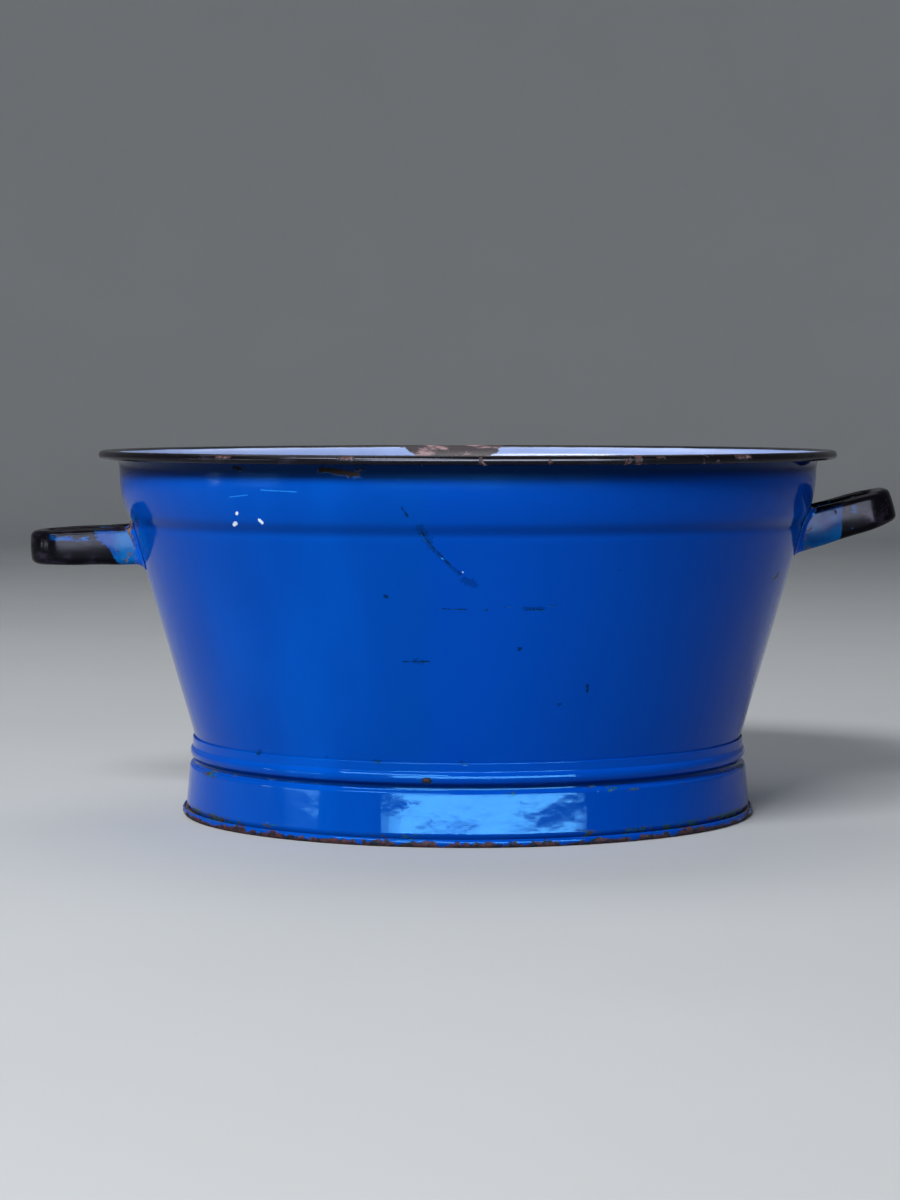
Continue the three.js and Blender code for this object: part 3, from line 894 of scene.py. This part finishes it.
def foot_enamel(name, under):
    """Blue enamel that has worn through along the foot's rolled edge, and more so on the inside, with painted
    shade under the raised rib.
    """
    n = Nodes(name)
    # Painted shade: the downward-facing flank under the rib, about 37 to 41.5 mm up, is darkened as if in
    # shade.
    rib_shade = n.both(n.step(n.z, 36.2 * MM, 37 * MM), n.step(n.z, 41.5 * MM, 39.5 * MM))
    colour = n.mix(n.math("MULTIPLY", rib_shade, 0.8), glaze(n), PAINTED_RIB_SHADE)
    left = n.math("MULTIPLY", n.step(n.x, -0.08, -0.19), 0.8)
    side = n.either(n.step(n.x, 0.02, 0.17), left)

    def worn_more_at_sides(noise, drop, low, high):
        return n.step(noise, *(n.math("MULTIPLY_ADD", side, -drop, limit) for limit in (low, high)))

    reach = n.math("MULTIPLY_ADD", side, 1 * MM, (7 if under else 3) * MM)
    ragged = n.math("SUBTRACT", n.noise(105, 5, 0.68), 0.5)
    lifted = n.math("MULTIPLY_ADD", ragged, -19 * MM, n.z)
    rust = n.step(lifted, reach, n.math("SUBTRACT", reach, 0.6 * MM))
    seam_band = n.both(n.step(n.z, 4.6 * MM, 5.4 * MM), n.step(n.z, 10.5 * MM, 7.5 * MM))
    seam_noise = n.noise(70, 5, 0.7, stretch=(1, 1, 2.2), offset=(1, 4, 2))
    seam = n.both(seam_band, worn_more_at_sides(seam_noise, 0.15, 0.60, 0.66))
    groove_band = n.both(n.step(n.z, 32 * MM, 34 * MM), n.step(n.z, 38 * MM, 36 * MM))
    groove_noise = n.noise(55, 5, 0.7, offset=(7, 1, 3))
    groove = n.both(groove_band, worn_more_at_sides(groove_noise, 0.09, 0.63, 0.68))
    lap = n.both(n.step(n.z, 52 * MM, 53.4 * MM), n.step(n.noise(60, 4, 0.65), 0.62, 0.68))
    crest_chip = n.near_line(*foot_front(-28, -26.5), 1.6 * MM, 0.5)
    crest_ring = n.near_line(*foot_front(-28.5, -26), 2.5 * MM, 0.5)
    dots = n.either(pinholes(n, 55, 0.06, 0.9 * MM, (4, 4, 1)), pinholes(n, 120, 0.04, 0.45 * MM))
    colour = n.mix(lap, colour, LAP_DARK)
    wear = n.mix(n.step(n.noise(240, 3), 0.42, 0.6), TEAL, WEAR_BROWN)
    colour = n.mix(n.either(seam, groove), colour, wear)
    colour = n.mix(n.either(crest_ring, dots), colour, BARE_DARK)
    rusted = n.either(rust, crest_chip)
    colour = n.mix(rusted, colour, rust_colour(n, (3, 3, 3)))
    worn = n.either(rusted, crest_ring, dots, n.math("MULTIPLY", n.either(seam, groove, lap), 0.6))
    gloss = n.math("MULTIPLY_ADD", n.noise(30, 4, 0.6), 0.07, 0.02)
    relief = enamel_bump(n, worn, 24, 0.26 * MM)
    return n.finish(colour, n.blend(worn, gloss, 0.7), relief, ior=ENAMEL_IOR, tint=BLUE_GLINT)


def foot_front(*along):
    """The points low on the crest of the foot ring's rib, at the front, that have these X, given in mm."""
    length = WAIST_HALF_LENGTH + RIB_OUT
    width = OVAL_RATIO * WAIST_HALF_LENGTH + RIB_OUT
    z = RIB_Z - 1.4 * MM
    return [(x * MM, -width * np.sqrt(max(0, 1 - (x * MM / length) ** 2)), z) for x in along]


def pan_under():
    """Blue under the floor, rusted in patches."""
    n = Nodes("pan_underside_enamel")
    rust = n.step(n.noise(16, 6, 0.7), 0.56, 0.64)
    colour = n.mix(n.step(n.noise(6, 3), 0.35, 0.7), BLUE_DEEP, BLUE)
    colour = n.mix(rust, colour, rust_colour(n, (1, 2, 3)))
    roughness = n.blend(rust, 0.2, 0.75)
    return n.finish(colour, roughness, enamel_bump(n, rust), ior=ENAMEL_IOR, tint=BLUE_GLINT)


def right_grip_blue(n, outward, above, wander):
    """Where blue shows on the right grip: a clean band at the root, and patches further out."""
    slope = n.math("MULTIPLY", n.math("SUBTRACT", outward, 232 * MM), 0.294)
    root = n.both(
        n.step(n.math("ADD", outward, n.math("MULTIPLY", wander, 0.2)), 256.5 * MM, 256 * MM),
        n.step(n.math("SUBTRACT", above, slope), 12 * MM, 8.5 * MM),
    )
    patch_noise = n.noise(70, 4, 0.6, offset=(2, 2, 2))
    return n.either(root, n.both(n.step(patch_noise, 0.60, 0.63), n.step(outward, 268 * MM, 262 * MM)))


def left_grip_blue(n, outward, above, wander):
    """Where blue shows on the left grip: a slanting end at the root, and a broken band along the top."""
    slanted = n.math("MULTIPLY_ADD", above, -0.8, n.math("MULTIPLY_ADD", wander, 0.45, outward))
    top = n.math("MULTIPLY_ADD", wander, 0.2, above)
    root = n.both(n.step(slanted, 249 * MM, 248 * MM), n.step(top, 11 * MM, 9 * MM))
    band = n.both(
        n.step(top, 2.6 * MM, 3.6 * MM),
        n.step(n.math("MULTIPLY_ADD", wander, 0.1, above), 8.4 * MM, 7.6 * MM),
        n.step(n.math("ADD", outward, wander), 288 * MM, 278 * MM),
        n.step(n.noise(110, 4, 0.65, stretch=(0.5, 1, 1)), 0.45, 0.50),
    )
    return n.either(root, band)


def grip_enamel(side, handle):
    """Black enamel over blue, which shows at the root and where the black has worn off."""
    n = Nodes(f"{side}_grip_enamel")
    outward = n.math("MULTIPLY", n.x, float(handle.end))
    wander = n.math("MULTIPLY_ADD", n.noise(75, 4, 0.65), 30 * MM, -15 * MM)
    above = n.math("SUBTRACT", n.z, float(handle.root[2]))
    blue = (right_grip_blue if side == "right" else left_grip_blue)(n, outward, above, wander)
    bright = n.mix(n.step(n.noise(60, 3), 0.35, 0.62), GRIP_BLUE, GRIP_BLUE_LIGHT)
    haze = n.step(n.noise(46, 4, 0.6, stretch=(1, 1, 2)), 0.52, 0.72)
    colour = n.mix(blue, n.mix(haze, BLACK, GRIP_HAZE), bright)
    worn = n.either(
        n.step(n.noise(120, 5, 0.7, offset=(9, 2, 4)), 0.68, 0.70),
        pinholes(n, 110, 0.10, 0.9 * MM, (1, 7, 3)),
    )
    root_x = float(abs(handle.root[0]))
    near_root = n.step(outward, root_x + 16 * MM, root_x + 2 * MM)
    root_rust = n.both(near_root, n.step(n.noise(130, 5, 0.7, offset=(5, 5, 5)), 0.56, 0.60))
    edge = n.both(root_rust, n.step(n.noise(240, 3), 0.35, 0.6))
    colour = n.mix(worn, colour, n.mix(n.step(n.noise(320, 3), 0.42, 0.6), BARE_BROWN, RUST))
    colour = n.mix(edge, colour, n.mix(n.step(n.noise(300, 3), 0.45, 0.55), RUST, GOLD_RUST))
    damage = n.either(worn, edge)
    gloss = n.math("MULTIPLY_ADD", n.noise(50, 4, 0.6), 0.22, 0.06)
    roughness = n.blend(damage, gloss, 0.65)
    return n.finish(colour, roughness, enamel_bump(n, damage), ior=GRIP_IOR, tint=GREY_GLINT)


def root_enamel(side, handle):
    """Blue enamel over the flared root, with the weld line rusting through where it meets the leg."""
    n = Nodes(f"{side}_root_enamel")
    outward = n.math("MULTIPLY", n.x, float(handle.end))
    root_x = float(abs(handle.root[0]))
    near = n.step(outward, root_x - 3 * MM, root_x + 4 * MM)
    amount, rust_tone = (0.50, GOLD_RUST) if side == "left" else (0.58, RUST)
    rust = n.both(near, n.step(n.noise(120, 5, 0.7), amount, amount + 0.05))
    dark = n.both(near, n.step(n.noise(80, 4, 0.6, offset=(2, 3, 4)), 0.57, 0.62))
    colour = n.mix(dark, glaze(n), BLACK)
    colour = n.mix(rust, colour, n.mix(n.step(n.noise(260, 4), 0.42, 0.58), RUST_DARK, rust_tone))
    roughness = n.blend(rust, 0.2, 0.6)
    return n.finish(colour, roughness, enamel_bump(n, rust), ior=ENAMEL_IOR, tint=BLUE_GLINT)


def wire_steel():
    """The wires inside the rolled edges, half rusted."""
    n = Nodes("wire_steel")
    rust = n.step(n.noise(60, 5, 0.7), 0.45, 0.6)
    relief = n.bump(n.math("MULTIPLY", n.noise(500, 3), 0.06 * MM))
    colour, metallic = n.mix(rust, STEEL, RUST), n.blend(rust, 0.9, 0.0)
    return n.finish(colour, n.blend(rust, 0.4, 0.85), relief, metallic, ior=STEEL_IOR)


def floor_material():
    """Matt paper, with no gloss at all, so that the studio's lamps never show in it."""
    n = Nodes("studio_floor")
    colour = n.mix(n.noise(3, 3), PAPER, PAPER_LIGHT)
    relief = n.bump(n.math("MULTIPLY", n.noise(300, 3), 0.02 * MM))
    return n.finish(colour, 0.9, relief, ior=1.0)


# ---- The tub ----


def declare(piece, slot, *nodes):
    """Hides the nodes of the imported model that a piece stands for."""
    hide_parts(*nodes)


def build_tub():
    outside, inside = wall_outside(), inside_enamel()
    wall = oval_piece("wall_shell", *wall_profile(), [outside, inside, rim_enamel()])
    declare(wall, "blue_enamel", "wall")
    foot = [foot_enamel("foot_outside_enamel", False), foot_enamel("foot_underside_enamel", True)]
    declare(oval_piece("foot_shell", *foot_profile(), foot), "blue_enamel", "foot_ring")
    pan = oval_piece("floor_shell", *pan_profile(), [pan_under(), inside], closed=False)
    declare(pan, "pale_enamel", "floor_pan")
    steel = wire_steel()
    for name, centre, node in (
        ("rim_wire_round", RIM_CENTRE, "rim_wire"),
        ("foot_wire_round", FOOT_CENTRE, "foot_wire"),
    ):
        section = arc(centre, WIRE_RADIUS, 0, 360, 12)[:-1]
        declare(oval_piece(name, section, [0] * len(section), [steel]), "bare_steel", node)


def build_handles():
    for side, numbers in HANDLES.items():
        handle = Handle(**numbers)
        grip = grip_piece(f"{side}_grip_tube", handle, [grip_enamel(side, handle)])
        declare(grip, "black_enamel", f"{side}_grip")
        root = root_enamel(side, handle)
        for place, sign in (("front", -1), ("rear", 1)):
            pad = pad_piece(f"{side}_{place}_root", handle, sign, [root])
            declare(pad, "blue_enamel", f"{side}_{place}_pad")


# ---- Studio ----

EYE = Vector((-0.0122, -1.786, 0.284))
LOOK_DOWN = 4.38                  # degrees
LENS = 76.95                      # mm, on a frame 36 mm high
FLOOR_RADIUS = 3.6                # flat, before it bends up into the backdrop all round
BACKDROP_BEND = 1.4
BACKDROP_HEIGHT = 4.5
BACKDROP_SEGMENTS = 96


def build_camera():
    data = bpy.data.cameras.new("camera")
    data.sensor_fit = "VERTICAL"
    data.sensor_height = 36
    data.lens = LENS
    camera = bpy.data.objects.new("camera", data)
    camera.location = EYE
    camera.rotation_euler = (np.radians(90 - LOOK_DOWN), 0, 0)
    bpy.context.scene.collection.objects.link(camera)
    bpy.context.scene.camera = camera


def build_stage():
    """A pale round floor that bends up into a backdrop on all sides."""
    turn = np.radians(np.linspace(0, 90, 16))
    bend = [(FLOOR_RADIUS + BACKDROP_BEND * np.sin(t), BACKDROP_BEND * (1 - np.cos(t))) for t in turn]
    side = bend + [(FLOOR_RADIUS + BACKDROP_BEND, BACKDROP_HEIGHT)]
    angles = np.linspace(0, 2 * np.pi, BACKDROP_SEGMENTS, endpoint=False)
    vertices = [(r * np.cos(a), r * np.sin(a), z) for a in angles for r, z in side]
    count = len(side)
    faces = [tuple(j * count for j in range(BACKDROP_SEGMENTS))]
    faces += [face[::-1] for face in ring_faces(BACKDROP_SEGMENTS, count, closed=False)[0]]
    mesh = bpy.data.meshes.new("studio_floor")
    mesh.from_pydata(vertices, [], faces)
    mesh.materials.append(floor_material())
    mesh.shade_smooth()
    floor = bpy.data.objects.new("studio_floor", mesh)
    bpy.context.scene.collection.objects.link(floor)


def softbox(name, place, target, width, height, power, colour=(1, 1, 1), diffuse=True):
    data = bpy.data.lights.new(name, "AREA")
    data.shape, data.size, data.size_y = "RECTANGLE", width, height
    data.energy, data.color = power, colour
    light = bpy.data.objects.new(name, data)
    light.location = place
    light.rotation_euler = (Vector(target) - Vector(place)).to_track_quat("-Z", "Y").to_euler()
    light.visible_diffuse = diffuse
    light.visible_camera = False
    bpy.context.scene.collection.objects.link(light)


WINDOW_X, WINDOW_Y = 0.475, -3.0
LOW_WINDOW_Z, LOW_WINDOW_HEIGHT = 0.13, 0.14
LOW_WINDOW_WIDTHS = (3.40, 3.75, 4.10)  # three, so that the edges are soft
LOW_WINDOW_WATTS = 7.1            # per metre of width
SKY, SKY_STRENGTH = (0.80, 0.85, 0.92), 0.16


def build_lights():
    """A key from the upper left, a weak top light, and low windows that only gloss mirrors."""
    softbox("key", (-1.25, -2.15, 2.3), (-0.05, 0, 0.14), 2.0, 0.6, 142, (1.0, 0.99, 0.97))
    softbox("top", (-0.2, 0.9, 2.4), (0, 0.1, 0.2), 2.6, 1.2, 22)
    target = (WINDOW_X, 0, LOW_WINDOW_Z)
    for step, width in enumerate(LOW_WINDOW_WIDTHS):
        place = (WINDOW_X, WINDOW_Y - 0.01 * step, LOW_WINDOW_Z)
        power = LOW_WINDOW_WATTS * width
        softbox(f"low_window_{step}", place, target, width, LOW_WINDOW_HEIGHT, power, diffuse=False)
    for name, place, target, width, height, power in (
        ("tall_window", (WINDOW_X, -3.04, 0.85), (WINDOW_X, 0, 0.55), 3.75, 1.3, 480),
        ("left_window", (-2.45, -1.45, 0.09), (0, 0, 0.09), 0.75, 0.09, 7.8),
        ("far_left_window", (-2.75, -0.72, 0.09), (0, 0, 0.09), 0.22, 0.09, 2.6),
    ):
        softbox(name, place, target, width, height, power, diffuse=False)
    world = bpy.data.worlds.new("studio")
    world.use_nodes = True
    background = world.node_tree.nodes["Background"]
    background.inputs["Color"].default_value = (*SKY, 1)
    background.inputs["Strength"].default_value = SKY_STRENGTH
    bpy.context.scene.world = world
    bpy.context.scene.view_settings.view_transform = "Standard"


build_tub()
build_handles()
build_stage()
build_camera()
build_lights()
